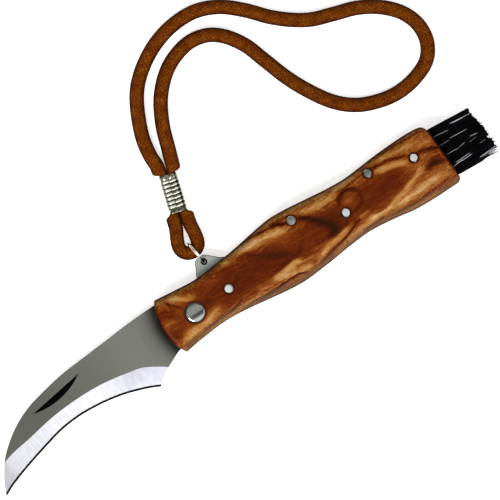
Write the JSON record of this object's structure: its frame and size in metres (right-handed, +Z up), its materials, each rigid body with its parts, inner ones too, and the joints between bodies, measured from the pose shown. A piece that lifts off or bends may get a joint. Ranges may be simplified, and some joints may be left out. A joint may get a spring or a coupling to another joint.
{
  "type": "mushroom knife",
  "caption": "Folding mushroom knife with a hooked blade, wooden scales, a brush at the rear end and a braided wrist lanyard on a wire ring.",
  "frame": {"origin": "on the axis of the blade's pivot, at the outer face of the pivot's nut, which is the height of the surface that the knife lies on", "axes": "+X along the handle from the blade to the brush, +Y from the blade's edge side to the spine and the lanyard's ear, +Z up through the handle's thickness, from the rear scale to the front scale"},
  "size_m": [0.2075, 0.1066, 0.0159],
  "materials": {
    "wood": "varnished",
    "satin_steel": "satin",
    "blade_steel": "satin",
    "polished_steel": "polished",
    "plated_wire": "polished",
    "black_plastic": "matte",
    "bristle": "satin",
    "braided_cord": "braided"
  },
  "bodies": {
    "handle": {"front_scale": "wood", "rear_scale": "wood", "front_liner": "satin_steel", "rear_liner": "satin_steel", "back_spring": "satin_steel", "pivot_bolt": "polished_steel", "pivot_nut": "polished_steel", "spring_pin": "polished_steel", "spring_rear_pin": "polished_steel", "brush_pin": "polished_steel", "front_rivet_upper": "polished_steel", "front_rivet_lower": "polished_steel", "rear_rivet_upper": "polished_steel", "rear_rivet_lower": "polished_steel", "brush_block": "black_plastic", "bristles": "bristle"},
    "blade": {"blade": "blade_steel"},
    "ring": {"lanyard_ring": "plated_wire"},
    "lanyard": {"lanyard_eye": "braided_cord", "cord_crimp": "plated_wire", "lanyard_loop": "braided_cord"}
  },
  "joints": [
    {"name": "blade_fold", "type": "hinge", "parent": "handle", "child": "blade", "pos_m": [0, 0, 0.00795], "axis": [0, 0, 1], "range_deg": [0, 165]},
    {"name": "ring_swing", "type": "hinge", "parent": "handle", "child": "ring", "pos_m": [0.0118, 0.01289, 0.0061], "axis": [0, 0, 1], "range_deg": [-2, 12]},
    {"name": "lanyard_swing", "type": "hinge", "parent": "ring", "child": "lanyard", "pos_m": [0.01063, 0.0211, 0.0058], "axis": [0, 0, 1], "range_deg": [-4, 75]}
  ]
}
